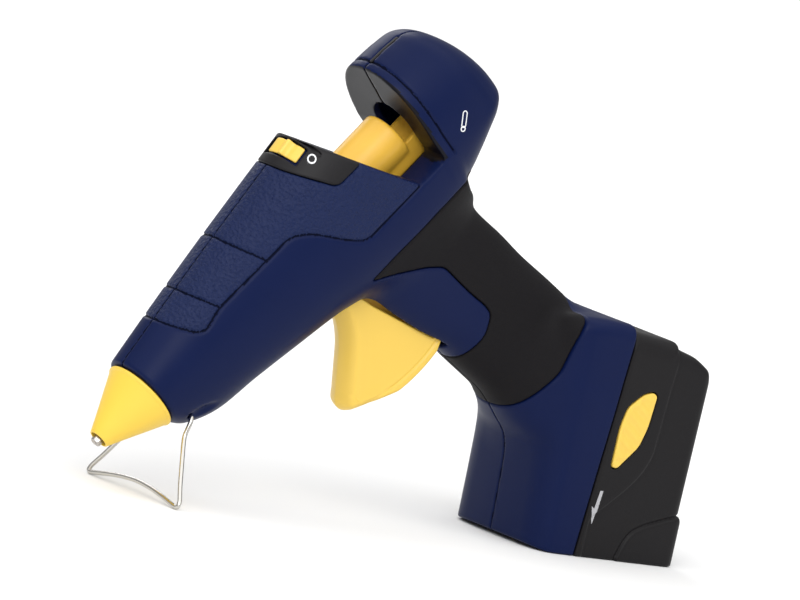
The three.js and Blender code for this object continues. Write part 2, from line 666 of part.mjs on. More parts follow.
const packShell = cut(
  packLoft(0).intersect(behindSplit(0.2, 0)),
  packLoft(2).intersect(behindSplit(-5, 2)),
  sidePrism(buttonHole, 40),
);
place(pack, 'pack_case', largest(packShell), BLACK());
const lidInside = packLoft(2 + GAP).intersect(behindSplit(0.2, 2 + GAP));
const lidPlate = slanted(0.2, 2.6, 2 + GAP, 96, 40).intersect(lidInside);
const rails = cut(join(
  box([234, -11, 1], [252, 11, 86]),
  box([229.4, -14.6, 1], [234, 14.6, 86]),
), behindSplit(2.6, -5), box([225, -9, 60], [240, 9, 90]), box([237, -20, 0], [260, 20, 2.4]));
const springLedges = [-1, 1].map((sign) => box(
  [244, Math.min(19.2 * sign, 21.2 * sign), 48],
  [259.6, Math.max(19.2 * sign, 21.2 * sign), 62],
));
const railsInside = rails.intersect(slanted(-30, 32, 0.8, 90, 20));
place(pack, 'pack_lid', largest(join(lidPlate, railsInside, ...springLedges)), BLACK());
place(pack, 'pack_board', box([251.4, -18, 8], [252.8, 18, 76]), BOARD());
for (let i = 0; i < 3; i += 1) {
  const y = (i - 1) * (2 * CELL_RADIUS + 0.4);
  place(pack, `battery_cell_${i + 1}`, cell(279.6, y), CELL_WRAP());
}
for (let i = 0; i < 2; i += 1) {
  const y = (i - 0.5) * (2 * CELL_RADIUS + 0.4);
  place(pack, `battery_cell_${i + 4}`, cell(263.2, y), CELL_WRAP());
}
function cell(x, y) {
  const points = [
    [0, 0], [0, CELL_RADIUS], [CELL_LENGTH - 1, CELL_RADIUS], [CELL_LENGTH - 1, 3], [CELL_LENGTH, 3],
    [CELL_LENGTH, 0],
  ];
  const geometry = new THREE.LatheGeometry(points.map(([h, r]) => new THREE.Vector2(r, h)), 16);
  geometry.rotateX(Math.PI / 2);
  geometry.translate(x, y, 9);
  const body = solid(geometry);
  return body.volume() < 0 ? solid(flipped(geometry)) : body;
}
for (const [name, sign] of [['left_release_button', -1], ['right_release_button', 1]]) {
  const [y0, y1] = sign < 0 ? [-PACK_HALF - 0.4, -PACK_HALF + 3] : [PACK_HALF - 3, PACK_HALF + 0.4];
  place(pack, name, sidePrism(buttonOutline, y0, y1), YELLOW());
  const start = new THREE.Vector3(255.6, sign * 22.1, 56);
  const axis = new THREE.Vector3(0, sign, 0);
  place(pack, name.replace('button', 'spring'), spring(start, axis, 2.6, PACK_HALF - 26, 5, 0.4), STEEL());
}

// contacts: the dock's block carries two blades that reach into the pack's rail block
place(pack, 'terminal_block', box([229.4, -7.6, 60.8], [233.6, 7.6, 86.4]), BLACK());
for (const [i, y] of [-3.6, 3.6].entries()) {
  place(pack, `contact_blade_${i + 1}`, box([234, y - 0.4, 63], [238.6, y + 0.4, 84]), BRASS());
}

const assembly = new THREE.Group();
gun.rotation.y = -BARREL_TILT;
gun.position.set(-CENTRE_X, 0, TIP_HEIGHT);
pack.position.set(-CENTRE_X, 0, 0);
assembly.add(gun, pack);
export default assembly;
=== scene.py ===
"""Cordless glue gun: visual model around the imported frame.

Moulded pieces are written as distance fields in millimetres and meshed on a fine grid, so that
every parting line, groove and blend is real geometry.  Turned and bent pieces are lathed or swept.
Two frames are used, as in the design: the gun frame (x back from the nozzle tip, z square to the
barrel) and the base frame (level, X to the back, Z up from the resting surface).
"""
import math

import bpy
import numpy as np
from mathutils import Matrix, Vector


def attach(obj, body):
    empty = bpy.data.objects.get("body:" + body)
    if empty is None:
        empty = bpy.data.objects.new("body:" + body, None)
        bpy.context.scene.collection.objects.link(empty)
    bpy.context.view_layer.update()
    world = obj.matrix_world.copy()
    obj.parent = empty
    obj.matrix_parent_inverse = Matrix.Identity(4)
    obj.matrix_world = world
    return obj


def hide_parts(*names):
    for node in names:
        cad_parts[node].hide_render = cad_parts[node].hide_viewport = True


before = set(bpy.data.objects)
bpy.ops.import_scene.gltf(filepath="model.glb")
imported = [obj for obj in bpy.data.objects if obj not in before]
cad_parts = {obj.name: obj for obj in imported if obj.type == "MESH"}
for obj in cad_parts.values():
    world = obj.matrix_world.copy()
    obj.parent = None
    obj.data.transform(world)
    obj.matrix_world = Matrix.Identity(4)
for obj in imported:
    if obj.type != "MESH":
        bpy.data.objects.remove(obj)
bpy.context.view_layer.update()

MM = 0.001
TILT = math.radians(51.2)
COS, SIN = math.cos(TILT), math.sin(TILT)
TIP_HEIGHT = 18.6
CENTRE_X = 144.33
CELL = 0.8


# ---------------------------------------------------------------- frames
def gun_to_row(p):
    """Gun-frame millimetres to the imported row's metres."""
    x, y, z = p[:, 0], p[:, 1], p[:, 2]
    return np.stack([COS * x - SIN * z - CENTRE_X, y, SIN * x + COS * z + TIP_HEIGHT], 1) * MM


def base_to_row(p):
    """Base-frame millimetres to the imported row's metres."""
    return np.stack([p[:, 0] - CENTRE_X, p[:, 1], p[:, 2]], 1) * MM


def gun_to_base(x, z):
    return COS * x - SIN * z, SIN * x + COS * z + TIP_HEIGHT


def base_to_gun_points(points):
    return [(COS * x + SIN * (z - TIP_HEIGHT), -SIN * x + COS * (z - TIP_HEIGHT)) for x, z in points]


# ---------------------------------------------------------------- field helpers
def smin(a, b, k):
    """Union of two fields with a soft blend k wide."""
    h = np.maximum(k - np.abs(a - b), 0) / k
    return np.minimum(a, b) - h * h * k * 0.25


def smax(a, b, k):
    return -smin(-a, -b, k)


def stations(rows, samples=200):
    """Catmull-Rom through rows of numbers; returns a function from the first column to the rest."""
    rows = np.array(rows, float)
    n = len(rows)
    t = np.linspace(0, n - 1, samples)
    i = np.clip(t.astype(int), 0, n - 2)
    f = (t - i)[:, None]
    p = [rows[np.clip(i + d, 0, n - 1)] for d in (-1, 0, 1, 2)]
    smooth = 0.5 * (2 * p[1] + (p[2] - p[0]) * f + (2 * p[0] - 5 * p[1] + 4 * p[2] - p[3]) * f ** 2
                    + (3 * p[1] - p[0] - 3 * p[2] + p[3]) * f ** 3)
    order = np.argsort(smooth[:, 0])
    if rows[0, 0] > rows[-1, 0]:
        smooth = smooth[order]
    return lambda at: [np.interp(at, smooth[:, 0], smooth[:, c]).astype(np.float32)
                       for c in range(1, rows.shape[1])]


def egg(across, along, half, low, middle, high, power_low, power_high):
    """Radial distance to an egg-shaped section."""
    reach = np.where(along > middle, high - middle, middle - low)
    power = np.where(along > middle, power_high, power_low)
    u = np.abs(across) / np.maximum(half, 0.5)
    v = np.abs(along - middle) / np.maximum(reach, 0.5)
    r = (u ** power + v ** power) ** (1 / power)
    q = np.sqrt(across ** 2 + (along - middle) ** 2)
    return q * (1 - 1 / np.maximum(r, 1e-3))


def polygon(points, x, z):
    """Signed distance to a closed side-view outline, negative inside."""
    shape = np.broadcast(x, z).shape
    best = np.full(shape, 1e6, np.float32)
    inside = np.zeros(shape, bool)
    count = len(points)
    for i in range(count):
        (x0, z0), (x1, z1) = points[i], points[(i + 1) % count]
        ex, ez = x1 - x0, z1 - z0
        t = np.clip(((x - x0) * ex + (z - z0) * ez) / (ex * ex + ez * ez), 0, 1)
        best = np.minimum(best, np.hypot(x - x0 - t * ex, z - z0 - t * ez))
        crosses = (z0 > z) != (z1 > z)
        if abs(ez) > 1e-9:
            inside ^= crosses & (x < x0 + (z - z0) * ex / ez)
    return np.where(inside, -best, best)


def path_distance(points, x, z):
    """Distance to an open side-view line."""
    best = np.full(np.broadcast(x, z).shape, 1e6, np.float32)
    for (x0, z0), (x1, z1) in zip(points, points[1:]):
        ex, ez = x1 - x0, z1 - z0
        t = np.clip(((x - x0) * ex + (z - z0) * ez) / (ex * ex + ez * ez), 0, 1)
        best = np.minimum(best, np.hypot(x - x0 - t * ex, z - z0 - t * ez))
    return best


GUN_RANGE = ((18.0, -216.0), (262.0, 62.0))
BASE_RANGE = ((222.0, -10.0), (298.0, 112.0))


class Plan:
    """Side-view distance to an outline or line, tabulated once so that it can be read quickly anywhere."""

    def __init__(self, points, closed=True, span=GUN_RANGE, step=0.3):
        self.low, self.step = span[0], step
        self.xs, self.zs = (np.arange(span[0][a], span[1][a], step) for a in range(2))
        measure = polygon if closed else path_distance
        self.table = measure(points, self.xs[:, None], self.zs[None, :]).astype(np.float32)

    def __call__(self, x, z):
        i = np.clip((x - self.low[0]) / self.step, 0, len(self.xs) - 1.001)
        k = np.clip((z - self.low[1]) / self.step, 0, len(self.zs) - 1.001)
        i0, k0 = i.astype(int), k.astype(int)
        u, w = i - i0, k - k0
        t = self.table
        return ((t[i0, k0] * (1 - u) + t[i0 + 1, k0] * u) * (1 - w)
                + (t[i0, k0 + 1] * (1 - u) + t[i0 + 1, k0 + 1] * u) * w)


def rounded(points, radius, steps=5):
    """The outline with its corners rounded, for grooves and printed shapes."""
    smooth = []
    count = len(points)
    for i in range(count):
        before, corner, after = (Vector(points[(i + d) % count]) for d in (-1, 0, 1))
        a, b = before - corner, after - corner
        trim = min(radius, 0.45 * a.length, 0.45 * b.length)
        start, end = corner + a.normalized() * trim, corner + b.normalized() * trim
        for k in range(steps + 1):
            t = k / steps
            smooth.append(tuple(start * (1 - t) ** 2 + corner * 2 * t * (1 - t) + end * t ** 2))
    return smooth


def groove(distance, width, depth):
    """Depth to take off a skin so that a soft line is pressed into it."""
    return depth * np.exp(-(distance / width) ** 2)


# ---------------------------------------------------------------- meshing a field
def field_mesh(field, low, high, cell):
    """Closed quad mesh of field = 0 (surface nets, then pulled onto the exact surface)."""
    axes = [np.arange(low[a] - cell, high[a] + 2 * cell, cell, dtype=np.float32) for a in range(3)]
    values = np.empty([len(a) for a in axes], np.float32)
    slab = 40
    for start in range(0, len(axes[0]), slab):
        x, y, z = np.meshgrid(axes[0][start:start + slab], axes[1], axes[2], indexing="ij", sparse=True)
        values[start:start + slab] = field(x, y, z)
    inside = values < 0
    cells = tuple(n - 1 for n in values.shape)
    total = np.zeros((cells[0] * cells[1] * cells[2], 4))
    edges = []
    for axis in range(3):
        head = [slice(None)] * 3
        tail = [slice(None)] * 3
        head[axis], tail[axis] = slice(0, -1), slice(1, None)
        a, b = values[tuple(head)], values[tuple(tail)]
        crossing = np.argwhere(inside[tuple(head)] != inside[tuple(tail)])
        va, vb = a[tuple(crossing.T)], b[tuple(crossing.T)]
        place = crossing.astype(float)
        place[:, axis] += va / (va - vb)
        one, two = [o for o in range(3) if o != axis]
        corner_ids = []
        keep = np.ones(len(crossing), bool)
        for d1, d2 in ((0, 0), (-1, 0), (-1, -1), (0, -1)):
            near = crossing.copy()
            near[:, one] += d1
            near[:, two] += d2
            ok = np.all((near >= 0) & (near < cells), axis=1)
            keep &= ok
            flat = np.ravel_multi_index(tuple(np.clip(near, 0, np.array(cells) - 1).T), cells)
            corner_ids.append(flat)
            for c in range(3):
                total[:, c] += np.bincount(flat[ok], place[ok, c], len(total))
            total[:, 3] += np.bincount(flat[ok], minlength=len(total))
        quads = np.stack(corner_ids, 1)[keep]
        flip = (va < 0)[keep] ^ (axis == 1)
        quads[~flip] = quads[~flip][:, ::-1]
        edges.append(quads)
    used = np.flatnonzero(total[:, 3])
    points = total[used, :3] / total[used, 3:4]
    points = points * cell + np.array([a[0] for a in axes])
    index = np.zeros(len(total), np.int64)
    index[used] = np.arange(len(used))
    faces = index[np.concatenate(edges)]
    step = 0.12
    for _ in range(3):
        value = field(*points.T)
        slope = np.stack([(field(*(points + step * unit).T) - field(*(points - step * unit).T)) / (2 * step)
                          for unit in np.eye(3)], 1)
        size = np.maximum((slope ** 2).sum(1), 0.05)
        move = -value[:, None] * slope / size[:, None]
        reach = np.linalg.norm(move, axis=1, keepdims=True)
        points = points + move * np.minimum(1, 0.5 * cell / np.maximum(reach, 1e-9))
    return points, faces


def make_object(name, points, faces, to_row, body, materials, pick=None, replaced=()):
    mesh = bpy.data.meshes.new(name)
    mesh.from_pydata(to_row(points).tolist(), [], faces.tolist() if hasattr(faces, "tolist") else faces)
    mesh.validate()
    mesh.shade_smooth()
    for material in materials:
        mesh.materials.append(material)
    if pick is not None:
        centres = np.array([points[list(f)].mean(0) for f in faces]) if not hasattr(faces, "shape") \
            else points[faces].mean(1)
        mesh.polygons.foreach_set("material_index", pick(*centres.T).astype(np.int32))
    obj = bpy.data.objects.new(name, mesh)
    bpy.context.scene.collection.objects.link(obj)
    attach(obj, body)
    if replaced:
        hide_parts(*replaced)
    return obj


# ---------------------------------------------------------------- body fields (gun frame)
barrel_at = stations([      # x, top, widest level, bottom, half width
    [30.2, 18.3, 0.8, -16.2, 17.4], [36, 19.4, 0.2, -23, 18.1], [50.6, 22, -1.5, -29.6, 20],
    [72, 25.7, -4, -31.8, 22.4], [96, 29.6, -7, -35, 24.8], [118, 32.9, -10, -38.2, 26.8],
    [138, 35.9, -12, -44, 28], [158, 38.8, -12, -47, 28], [178, 40, -12, -47, 28], [196, 40, -12, -45, 27.6]])
hood_at = stations([        # x, top, widest level, bottom, half width
    [191.5, 33.4, -6, -38, 28.4], [200, 33.2, -6, -36.5, 28.8], [210, 32.6, -8, -30.8, 28.4],
    [219, 30.7, -9, -25, 27.2], [226, 23.9, -9.5, -22, 24.2], [232, 11.5, -9.5, -19, 18.5],
    [236.6, -6, -10.5, -16, 6]])
handle_at = stations([      # z, front, rear, half width
    [-150, 159, 215, 22], [-130, 156.2, 211.4, 19.6], [-109, 152.4, 207.8, 18.4], [-90, 148.4, 204, 17.8],
    [-74, 141.5, 201.8, 17.8], [-55, 135.5, 198.6, 18.6], [-43, 134, 201, 20], [-28, 137, 201.8, 22.5],
    [-12, 140, 206, 24]])
HOOD_FRONT = 192.0
HOOD_RIM = 196.4        # the scored line behind the hood's front edge
hood_lean = stations([[190, 1], [219, 0.85], [226, 0.5], [232, 0.33], [238, 0.28]])
foot_half = stations([      # X, half width, cosine of the side's slope (base frame)
    [203, 14, 0.62], [208, 18.4, 0.64], [213, 23.6, 0.7], [218, 28.6, 0.8], [223, 31.4, 0.92],
    [228, 32.4, 0.98], [238, 33, 1], [252, 33.4, 1]])
FOOT_SIDE = Plan(base_to_gun_points(rounded([
    (216.8, -30), (216.6, 2), (215.8, 22), (214.8, 38.5), (213.6, 46), (209, 52), (205, 60), (204, 90),
    (208, 98), (216, 102), (230, 102.5), (240, 101.7), (262, 99.6), (262, -30)], 5)))


def barrel_field(x, y, z):
    top, middle, bottom, half = barrel_at(x)
    f = egg(y, z, half, bottom, middle, top, 2.2, 2.12)
    return smax(smax(f, 30.2 - x, 1.6), x - 196, 3)


def hood_rake(z):
    """How far the hood's front edge leans back with height."""
    return 2.8 * np.clip(z, 0, 34) / 34


def hood_field(x, y, z):
    top, middle, bottom, half = hood_at(x)
    f = egg(y, z, half, bottom, middle, top, 2.2, 2.3) * hood_lean(x)[0]
    front = HOOD_FRONT + hood_rake(z) - 0.8 * (np.abs(y) / 28) ** 2
    return smax(smax(f, front - x, 1.2), x - 236.2, 2)


def handle_field(x, y, z):
    front, rear, half = handle_at(z)
    f = egg(y, x, half, front, (front + rear) / 2, rear, 2.5, 2.3)
    return smax(f, z + 14, 3)


def foot_field(x, y, z):
    across = np.abs(y)
    bow = 0.0024 * across ** 2
    half, lean = foot_half(gun_to_base(x, z)[0])
    return smax(FOOT_SIDE(x - COS * bow, z + SIN * bow), (across - half) * lean, 7)


SPLIT_TOP = (246.0, 97.0)
SPLIT_FOOT = 238.0


def split_x(bz):
    return SPLIT_FOOT + (SPLIT_TOP[0] - SPLIT_FOOT) * bz / SPLIT_TOP[1]


def sole_z(bx):
    """Height of the underside of foot and pack: it turns up towards the front edge."""
    return 0.2 + 0.016 * np.clip(228 - bx, 0, 14) ** 2


DECK_Z = -11
TUNNEL_HALF = 12.6


def behind_block(x, z):
    """Positive behind the sloping rear face of the barrel block."""
    return (x - 149.3) * 0.875 + (z - 37.5) * 0.484


def body_field(x, y, z):
    """The whole moulded body as one solid: barrel block, hood, handle and foot, with its soft blends."""
    above_deck = smax(-behind_block(x, z), DECK_Z - z, 2.5)
    f = smax(barrel_field(x, y, z), -above_deck, 1.2)
    f = smin(f, handle_field(x, y, z), 9)
    f = smin(f, hood_field(x, y, z), 3)
    height = gun_to_base(x, z)[1]
    return smin(f, foot_field(x, y, z), 5 + 9 * np.clip((97 - height) / 25, 0, 1))


def tunnel_field(x, y, z):
    """The arched bay that the stick carriage runs in."""
    arch = np.where(z > 0.4, np.hypot(y, z - 0.4), np.abs(y)) - TUNNEL_HALF
    return np.maximum(np.maximum(arch, -13.8 - z), np.maximum(150 - x, x - 206))


def rod_x(x, y, z, centre_z, radius, x0, x1):
    """Round rod or bore along the barrel."""
    return np.maximum(np.hypot(y, z - centre_z) - radius, np.maximum(x0 - x, x - x1))


def bore_y(x, z, centre, radius):
    """Endless round rod or bore across the tool."""
    return np.hypot(x - centre[0], z - centre[1]) - radius


TRIGGER_PIVOT = (128.0, -20.0)
LEVER_PIVOT = (158.0, -33.0)
TRIGGER_RADIUS = 73
TRIGGER_HALF = 8.5
STAND_PIVOT = (37.2, -16.2)
STAND_REST = (67.4, -32.3)          # where the folded wire lies under the barrel
SCOOP_DEPTH = 4.4                   # of the hollow that the stand's wire springs from
SCREWS = [(60, -22), (104, -28), (118, 22), (188, -66), (167, -110), (186, -117), (214, 20), (216, -17.5)]

GRIP = Plan(rounded([
    (134, -28.6), (152, -27.5), (176, -27.2), (200, -28.5), (208, -32), (215, -39), (220, -60), (224, -117),
    (209, -120), (200, -121.2), (191.2, -125.4), (180.2, -131), (169.6, -132.4), (158.6, -133.2),
    (150, -133), (138, -133), (138, -99.5), (153, -99), (165, -96), (172.4, -90), (172.6, -85), (170, -74),
    (167, -55), (160, -48), (147, -38)], 3))
PLATE = Plan(rounded([(134, 50), (134, 35), (146.4, 16.7), (170, 16.6), (184, 50)], 3))
PANEL_EDGE = Plan(rounded([
    (52.8, 30), (53, 22), (61.5, 10.6), (73, 14.2), (117, 15.6), (125, 10), (134, -2), (141, -10),
    (178, -10), (184, 60), (52.8, 60)], 5))
PANEL_GROOVES = [Plan(line, closed=False) for line in (
    [(69, 34), (69.2, 24), (74.5, 13.6)], [(96.2, 36), (96.4, 28), (102.4, 14.8)])]
GRIP_DEPTH = 2.0
PLATE_DEPTH = 2.2
WALL = 3.0


def shell_field(side):
    """One clamshell half, hollow, with recesses for the grip and the switch plate."""
    def field(x, y, z):
        across = y * side
        bx, bz = gun_to_base(x, z)
        body = body_field(x, y, z)
        grip = GRIP(x, z)
        plate = PLATE(x, z)
        panel = PANEL_EDGE(x, z)
        cross = np.minimum(*[line(x, z) for line in PANEL_GROOVES])
        lines = np.minimum(np.abs(panel), np.where(panel < 0, cross, 99))
        rim = np.where(z > DECK_Z, np.abs(x - HOOD_RIM - hood_rake(z)), 99)
        outside = body + groove(lines, 0.55, 0.9) + groove(rim, 0.5, 0.9)
        split = (bx - split_x(bz) + 0.2) * 0.996
        f = smax(smax(outside, sole_z(bx) - bz, 1.0), split, 1.0)
        f = smax(f, -smax(grip - 0.25, -(body + GRIP_DEPTH + 0.3), 0.3), 0.7)
        f = smax(f, -smax(plate - 0.2, -(body + PLATE_DEPTH), 0.3), 0.6)
        depth = WALL + np.where(grip < 2, GRIP_DEPTH, 0) + np.where(plate < 2, 1.4, 0)
        hollow = np.maximum(body + depth, WALL + sole_z(bx) - bz)
        f = np.maximum(f, -hollow)
        sweep = np.hypot(x - TRIGGER_PIVOT[0], z - TRIGGER_PIVOT[1]) - (TRIGGER_RADIUS + 1.2)
        slot = np.maximum(np.maximum(np.abs(y) - TRIGGER_HALF - 0.7, sweep),
                          np.maximum(114.5 - x - 0.2 * (z + 42), z + 24))
        f = smax(f, -slot, 0.8)
        f = smax(f, -rod_x(x, y, z, 0, 14.2, 20, 40), 0.8)
        f = smax(f, -tunnel_field(x, y, z), 1.0)
        f = smax(f, -rod_x(x, y, z, 0, 9.6, 205, 260), 1.0)
        trough = np.maximum(np.maximum(226.7 - bx, bz - 88.9), np.abs(y) - 17.3)
        f = smax(f, -trough, 0.6)
        scoop = np.sqrt(((x - 41.5) / 9.5) ** 2 + ((across - 18) / 5.4) ** 2
                        + ((z + 19.2 + 0.28 * (x - 41.5)) / SCOOP_DEPTH) ** 2)
        f = smax(f, -(scoop - 1) * SCOOP_DEPTH, 1.0)
        f = smax(f, -bore_y(x, z, STAND_PIVOT, 1.35), 0.3)
        f = smax(f, -bore_y(x, z, STAND_REST, 1.45), 0.3)
        strip = np.maximum(np.abs(x - 207.1) - 8.6, np.maximum(np.abs(y) - 0.95, 31 - z))
        f = smax(f, -strip, 0.3)
        for sx, sz in SCREWS:
            post = np.maximum(bore_y(x, z, (sx, sz), 4.2), body + GRIP_DEPTH + 1)
            f = np.minimum(f, post)
            f = np.maximum(f, -bore_y(x, z, (sx, sz), 1.55) if side > 0 else
                           -np.maximum(bore_y(x, z, (sx, sz), 1.5), across - 12))
            if side > 0:
                f = smax(f, -np.maximum(bore_y(x, z, (sx, sz), 3.5), 9 - across), 0.4)
        for centre, radius in ((TRIGGER_PIVOT, 2.3), (LEVER_PIVOT, 1.8)):
            post = np.maximum(bore_y(x, z, centre, radius + 2.4), np.maximum(body + WALL, 14.4 - across))
            f = np.minimum(f, post)
            f = np.maximum(f, -np.maximum(bore_y(x, z, centre, radius), across - 19))
        return smax(f, 0.1 - across, 0.55)
    return field


def grip_field(side):
    def field(x, y, z):
        across = y * side
        body = body_field(x, y, z)
        f = smax(body - 0.1, GRIP(x, z) + 0.15, 1.2)
        f = np.maximum(f, -(body + GRIP_DEPTH))
        if side > 0:
            for centre in SCREWS:
                f = smax(f, -np.maximum(bore_y(x, z, centre, 3.6), 6 - across), 0.4)
        return smax(f, 0.1 - across, 0.5)
    return field


# ---------------------------------------------------------------- materials
def new_material(name):
    material = bpy.data.materials.new(name)
    material.use_nodes = True
    nodes, links = material.node_tree.nodes, material.node_tree.links
    return material, nodes, links, nodes["Principled BSDF"]


def moulded(name, colour, roughness, bump_scale, bump_height, variation=0.06, leather=None,
            specular=0.5, metallic=0.0):
    """Moulded or machined surface: colour drift, roughness drift and a fine bump, all in object space."""
    material, nodes, links, shader = new_material(name)
    shader.inputs["Metallic"].default_value = metallic
    shader.inputs["Specular IOR Level"].default_value = specular
    where = nodes.new("ShaderNodeTexCoord")
    drift = nodes.new("ShaderNodeTexNoise")
    drift.inputs["Scale"].default_value = 60
    drift.inputs["Detail"].default_value = 4
    links.new(where.outputs["Object"], drift.inputs["Vector"])
    tint = nodes.new("ShaderNodeMix")
    tint.data_type = "RGBA"
    tint.inputs["A"].default_value = (*[c * (1 - variation) for c in colour], 1)
    tint.inputs["B"].default_value = (*[min(1, c * (1 + variation)) for c in colour], 1)
    links.new(drift.outputs["Fac"], tint.inputs["Factor"])
    links.new(tint.outputs["Result"], shader.inputs["Base Color"])
    gloss = nodes.new("ShaderNodeMapRange")
    gloss.inputs["To Min"].default_value = roughness - 0.05
    gloss.inputs["To Max"].default_value = roughness + 0.05
    links.new(drift.outputs["Fac"], gloss.inputs["Value"])
    links.new(gloss.outputs["Result"], shader.inputs["Roughness"])
    grain = nodes.new("ShaderNodeTexNoise")
    grain.inputs["Scale"].default_value = bump_scale
    grain.inputs["Detail"].default_value = 3
    links.new(where.outputs["Object"], grain.inputs["Vector"])
    height = grain.outputs["Fac"]
    if leather:
        cells = nodes.new("ShaderNodeTexVoronoi")
        cells.feature = "SMOOTH_F1"
        cells.inputs["Scale"].default_value = leather
        wobble = nodes.new("ShaderNodeMixRGB")
        wobble.blend_type = "ADD"
        wobble.inputs["Fac"].default_value = 0.0012
        links.new(where.outputs["Object"], wobble.inputs["Color1"])
        links.new(grain.outputs["Color"], wobble.inputs["Color2"])
        links.new(wobble.outputs["Color"], cells.inputs["Vector"])
        both = nodes.new("ShaderNodeMath")
        both.operation = "MULTIPLY_ADD"
        both.inputs[1].default_value = 1.6
        links.new(cells.outputs["Distance"], both.inputs[0])
        links.new(grain.outputs["Fac"], both.inputs[2])
        height = both.outputs["Value"]
    bump = nodes.new("ShaderNodeBump")
    bump.inputs["Strength"].default_value = 1.0
    bump.inputs["Distance"].default_value = bump_height
    links.new(height, bump.inputs["Height"])
    links.new(bump.outputs["Normal"], shader.inputs["Normal"])
    return material


NAVY = moulded("navy_satin", (0.0030, 0.0085, 0.0490), 0.40, 1500, 0.00004, specular=0.11)
NAVY_GRAIN = moulded("navy_leather", (0.0042, 0.0120, 0.0600), 0.46, 1300, 0.00045, leather=700, specular=0.2)
# Darker navy for the scored lines, the hood rim and the parting seam: painted shade in these grooves.
NAVY_GROOVE_SHADE = moulded("navy_painted_groove_shade", (0.0015, 0.0030, 0.0140), 0.6, 1500, 0.00001, specular=0.05)
# Near-black colour for the hood's front face: painted shade and dark reflection on this glossy face.
HOOD_FACE_PAINTED_SHADE = moulded("hood_front_painted_shade", (0.0032, 0.0034, 0.0070), 0.34, 1500, 0.00002, specular=0.16)
RUBBER = moulded("grip_rubber", (0.0072, 0.0064, 0.0076), 0.62, 2200, 0.00016, variation=0.12, specular=0.12)
YELLOW = moulded("yellow_plastic", (0.84, 0.56, 0.085), 0.36, 1200, 0.000015, variation=0.02)
YELLOW_DEEP = moulded("yellow_tube", (0.90, 0.52, 0.055), 0.3, 1200, 0.000015, variation=0.02)
SILICONE = moulded("yellow_silicone", (0.86, 0.58, 0.062), 0.42, 900, 0.00002, variation=0.02)
BLACK = moulded("black_plastic", (0.0090, 0.0082, 0.0092), 0.42, 1700, 0.00008, variation=0.1, specular=0.16)
BLACK_SMOOTH = moulded("black_gloss", (0.0100, 0.0092, 0.0106), 0.44, 1700, 0.00005, variation=0.1,
                       specular=0.2)
GREY_PRINT = moulded("grey_print", (0.42, 0.42, 0.44), 0.5, 1200, 0.00001)
WHITE_PRINT = moulded("white_print", (0.82, 0.83, 0.85), 0.5, 1200, 0.00001)
WIRE_METAL = moulded("zinc_wire", (0.62, 0.60, 0.56), 0.2, 700, 0.00001, metallic=1.0)
NOZZLE_METAL = moulded("turned_steel", (0.50, 0.47, 0.44), 0.3, 1500, 0.00002, metallic=1.0)
SCREW_METAL = moulded("dark_steel", (0.16, 0.16, 0.17), 0.4, 1500, 0.00002, metallic=1.0)
ALUMINIUM = moulded("cast_aluminium", (0.55, 0.56, 0.57), 0.45, 900, 0.00006, metallic=1.0)
BRASS = moulded("brass_contact", (0.6, 0.42, 0.15), 0.3, 900, 0.00001, metallic=1.0)
BOARD = moulded("circuit_board", (0.02, 0.12, 0.05), 0.4, 900, 0.00003)
SLEEVE = moulded("red_silicone", (0.35, 0.06, 0.035), 0.5, 900, 0.00003)
CERAMIC = moulded("glazed_ceramic", (0.74, 0.70, 0.62), 0.35, 900, 0.00003)
WRAP = moulded("cell_wrap", (0.03, 0.2, 0.42), 0.3, 900, 0.00001)


# ---------------------------------------------------------------- clamshell halves and grips
def shell_finish_and_shade(x, y, z):
    """Grained upper panels, painted shade along the scored lines, hood rim and seam, painted shade and dark
    reflection on the front face of the hood, and plain satin elsewhere.
    """
    panel = PANEL_EDGE(x, z)
    on_block = (z > -12) & (behind_block(x, z) < -0.4) & (PLATE(x, z) > 0)
    finish = np.where((panel < -0.3) & on_block, 1, 0)
    cross = np.minimum(*[line(x, z) for line in PANEL_GROOVES])
    # The parting seam, the scored lines and the hood rim get the darker navy: painted shade in these grooves.
    seam = (np.abs(y) < 0.3) & (x < 238)
    scored_line_shade = (np.minimum(np.abs(panel), np.where(panel < 0, cross, 99)) < 0.42) & on_block
    rim = (np.abs(x - HOOD_RIM - hood_rake(z)) < 0.4) & (z > DECK_Z + 1)
    finish = np.where(scored_line_shade | rim | seam, 2, finish)
    # The hood's front face gets the near-black colour: painted shade and dark reflection.
    face_shade = (z > DECK_Z + 1) & (x > 185) & (x < HOOD_FRONT + 0.6 + hood_rake(z)) & (np.hypot(y, z) > 13.2)
    return np.where(face_shade, 3, finish)


def clamshell(side, node, grip_node):
    low_y, high_y = (0, 34.5) if side > 0 else (-34.5, 0)
    points, faces = field_mesh(shell_field(side), (29, low_y, -199), (238, high_y, 41), CELL)
    make_object(node + "_shell", points, faces, gun_to_row, "gun_body",
                [NAVY, NAVY_GRAIN, NAVY_GROOVE_SHADE, HOOD_FACE_PAINTED_SHADE], pick=shell_finish_and_shade, replaced=[node])
    points, faces = field_mesh(grip_field(side), (132, low_y, -148), (216, high_y, -25), CELL)
    make_object(grip_node + "_rubber", points, faces, gun_to_row, "gun_body", [RUBBER],
                replaced=[grip_node])


clamshell(-1, "left_housing", "left_grip")
clamshell(1, "right_housing", "right_grip")


def piece(name, field, low, high, cell, body, materials, replaced=(), pick=None, to_row=gun_to_row):
    points, faces = field_mesh(field, low, high, cell * (1))
    return make_object(name, points, faces, to_row, body, materials, pick, replaced)


def block(x, y, z, low, high):
    """Signed distance to an axis-aligned block (sharp corners)."""
    f = np.maximum(low[0] - x, x - high[0])
    f = np.maximum(f, np.maximum(low[1] - y, y - high[1]))
    return np.maximum(f, np.maximum(low[2] - z, z - high[2]))


